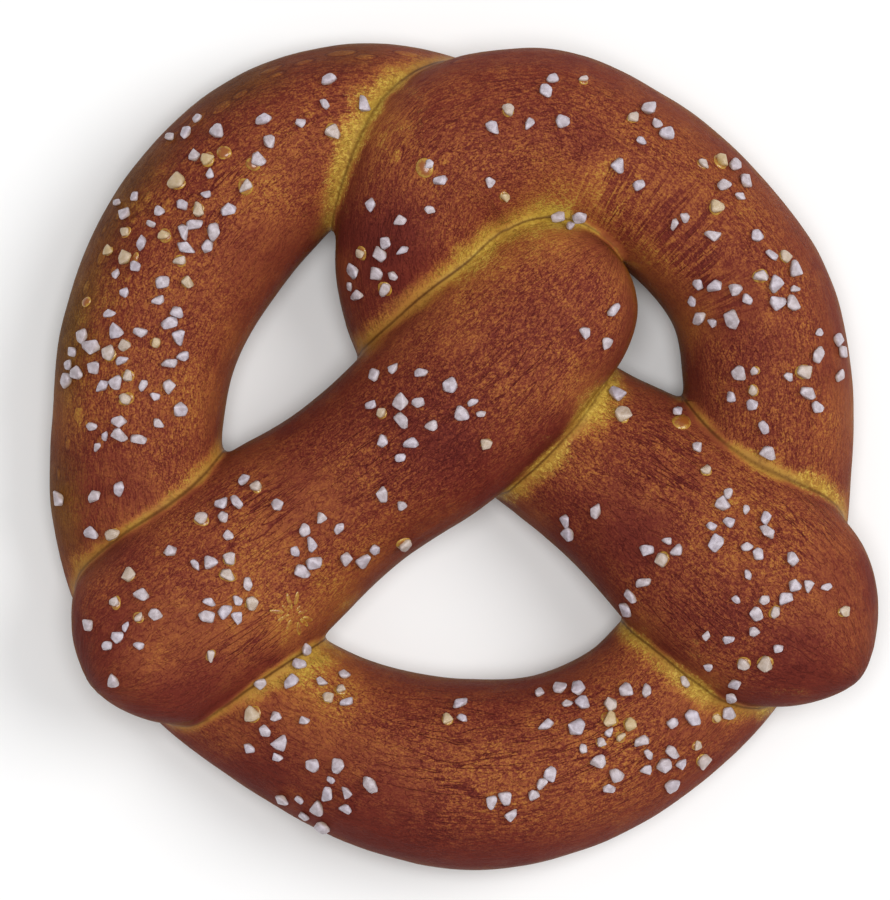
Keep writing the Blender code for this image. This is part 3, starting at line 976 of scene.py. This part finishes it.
def crustColor(tree, marks, noises, patterns, ragged, bakeAndShade):
    # the colour of the bake and painted shade, and over it, in this order, creases, flanks, the ruddy side,
    # and the painted shade along folds and painted shadow lines at the joints
    glow = product(tree, fade(tree, ragged, "glow"), fade(tree, marks["wet"], "glowWet"))
    gaps = product(tree, fade(tree, noises["crumb"], "gap"), fade(tree, ragged, "gapCrease"))
    # painted highlights: glint flecks in the wet creases
    paintedGlints = product(tree, fade(tree, noises["crumb"], "paintedGlint"), fade(tree, marks["wet"], "speckWet"))
    paintedGlints = product(tree, paintedGlints, fade(tree, ragged, "speckCrease"))
    flank = addShares(tree, marks["upness"], patterns, crustLook["flank"])
    olive = product(tree, fade(tree, flank, "flankOlive"), marks["olive"])
    ruddy = product(tree, fade(tree, marks["ruddy"], "ruddy"), fade(tree, marks["crease"], "ruddyOffCrease"))
    # painted shadow: a thin dark line where one strand meets another, as cast at the joint
    joint = fade(tree, calc(tree, "ABSOLUTE", marks["joint"]), "jointLine")
    joint = product(tree, joint, fade(tree, marks["crease"], "jointCrease"))
    joint = product(tree, joint, fade(tree, noises["broad"], "jointUneven"))
    layers = (
        (glow, crustLook["creaseGlow"]),
        (gaps, crustLook["crumbGap"]),
        (paintedGlints, crustLook["paintedGlint"]),
        (fade(tree, flank, "flankPale"), crustLook["crumbPale"]),
        (olive, colorRamp(tree, bakeAndShade, crustLook["oliveBake"])),
        (ruddy, crustLook["ruddy"]),
        # painted shade along the folds
        (fade(tree, marks["fold"], "fold"), crustLook["foldShadow"]),
        (joint, crustLook["foldShadow"]),
    )
    color = colorRamp(tree, bakeAndShade, crustLook["bakeAndShade"])
    for share, over in layers:
        color = mixColors(tree, share, color, over)
    return color


def bakedCrust():
    material, tree, shader = newMaterial("bakedCrust")
    marks = {name: attribute(tree, name) for name in skinMarks}
    noises = {name: speckle(tree, *settings) for name, settings in crustLook["speckles"].items()}
    for name, settings in crustLook["ropeNoises"].items():
        noises[name] = ropeNoise(tree, *settings)
    calm = fade(tree, marks["fold"], "calm")  # nought in a fold, where the skin has no pattern
    patterns = {**skinPatterns(tree, marks, noises), **blisterPatterns(tree, marks, calm)}
    ragged = addShares(tree, marks["crease"], patterns, crustLook["ragged"])
    bakeAndShade = howBrownAndShaded(tree, marks, noises, patterns, calm, ragged)
    color = crustColor(tree, marks, noises, patterns, ragged, bakeAndShade)
    tree.links.new(color, shader.inputs["Base Color"])
    tree.links.new(fade(tree, ragged, "roughness"), shader.inputs["Roughness"])
    shader.inputs["Specular IOR Level"].default_value = crustLook["gloss"]
    relief(tree, shader, product(tree, addShares(tree, 0, patterns, crustLook["relief"]), calm))
    return material


def saltCrystal():
    material, tree, shader = newMaterial("saltCrystal")
    clouds = speckle(tree, *saltLook["clouds"])
    cloudy = spread(tree, clouds, *saltLook["cloudFade"])
    white = mixColors(tree, cloudy, saltLook["grey"], saltLook["white"])
    color = mixColors(tree, attribute(tree, "tint"), white, saltLook["stain"])
    tree.links.new(color, shader.inputs["Base Color"])
    shader.inputs["Roughness"].default_value = saltLook["roughness"]
    shader.inputs["Subsurface Weight"].default_value = saltLook["milky"]
    shader.inputs["Subsurface Radius"].default_value = (1, 1, 1)
    shader.inputs["Subsurface Scale"].default_value = saltLook["milkyDepth"] * mm
    relief(tree, shader, product(tree, clouds, saltLook["relief"]))
    return material


def amberGlaze():
    # paler where a bead is thin
    material, tree, shader = newMaterial("amberGlaze")
    clouds = calc(tree, "SUBTRACT", speckle(tree, *glazeLook["clouds"]), 0.5)
    share = calc(tree, "MULTIPLY_ADD", clouds, glazeLook["cloudShare"], attribute(tree, "thin"))
    share = spread(tree, share, *glazeLook["thinFade"])
    color = mixColors(tree, share, glazeLook["thick"], glazeLook["thin"])
    tree.links.new(color, shader.inputs["Base Color"])
    shader.inputs["Roughness"].default_value = glazeLook["roughness"]
    shader.inputs["Specular IOR Level"].default_value = glazeLook["gloss"]
    return material


crust.data.materials.clear()
crust.data.materials.append(bakedCrust())
grains.data.materials.append(saltCrystal())
beads.data.materials.append(amberGlaze())
print("crust, salt and glaze coloured")

studio = {
    "aim": (-3.13, 1.10, 11.0),  # mm
    "cameraDistance": 1400,
    "frameSide": 152.37,  # mm across the picture's longer side, at the aim's height
    "sensor": 36,
    "clip": (0.1, 50),  # metres
    "floorSize": 8.0,  # metres
    "floorDrop": 0.1,  # mm below the pretzel
    "floorColor": (0.92, 0.92, 0.92, 1),
    "floorRoughness": 0.9,
    "floorGloss": 0.1,
    "sky": 0.4,
    "softboxSize": 1.1,
    "softboxHeight": 2.4,
    "softboxPower": 27,
    "keyFrom": (1.15, 0.3, 1.35),  # metres from the pretzel
    "keySize": 1.1,
    "keyPower": 15,
}


def placeCamera():
    lens = bpy.data.cameras.new("camera")
    lens.sensor_width = studio["sensor"]
    lens.lens = studio["sensor"] * studio["cameraDistance"] / studio["frameSide"]
    lens.clip_start, lens.clip_end = studio["clip"]
    camera = bpy.data.objects.new("camera", lens)
    camera.location = (Vector(studio["aim"]) + Vector((0, 0, studio["cameraDistance"]))) * mm
    bpy.context.scene.collection.objects.link(camera)
    bpy.context.scene.camera = camera


def placeLight(name, power, size, location):
    light = bpy.data.lights.new(name, "AREA")
    light.shape = "DISK"
    light.size = size
    light.energy = power
    lamp = bpy.data.objects.new(name, light)
    lamp.location = location
    lamp.rotation_euler = Vector(location).to_track_quat("Z", "Y").to_euler()
    bpy.context.scene.collection.objects.link(lamp)


def layFloor():
    bm = bmesh.new()
    bmesh.ops.create_grid(bm, x_segments=1, y_segments=1, size=studio["floorSize"] / 2)
    bmesh.ops.translate(bm, verts=bm.verts, vec=(0, 0, -studio["floorDrop"] * mm))
    floor = newPiece("floor", bm)
    material, _, shader = newMaterial("paperWhite")
    shader.inputs["Base Color"].default_value = studio["floorColor"]
    shader.inputs["Roughness"].default_value = studio["floorRoughness"]
    shader.inputs["Specular IOR Level"].default_value = studio["floorGloss"]
    floor.data.materials.append(material)


def lightStudio():
    world = bpy.data.worlds.new("studio")
    world.use_nodes = True
    background = world.node_tree.nodes["Background"]
    background.inputs["Color"].default_value = (1, 1, 1, 1)
    background.inputs["Strength"].default_value = studio["sky"]
    bpy.context.scene.world = world
    placeLight("softbox", studio["softboxPower"], studio["softboxSize"], (0, 0, studio["softboxHeight"]))
    placeLight("key", studio["keyPower"], studio["keySize"], studio["keyFrom"])
    bpy.context.scene.view_settings.view_transform = "Standard"


placeCamera()
layFloor()
lightStudio()
print("camera, floor and lights in place")

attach(crust, "root")
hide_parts("pretzel")
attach(grains, "root")
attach(beads, "root")
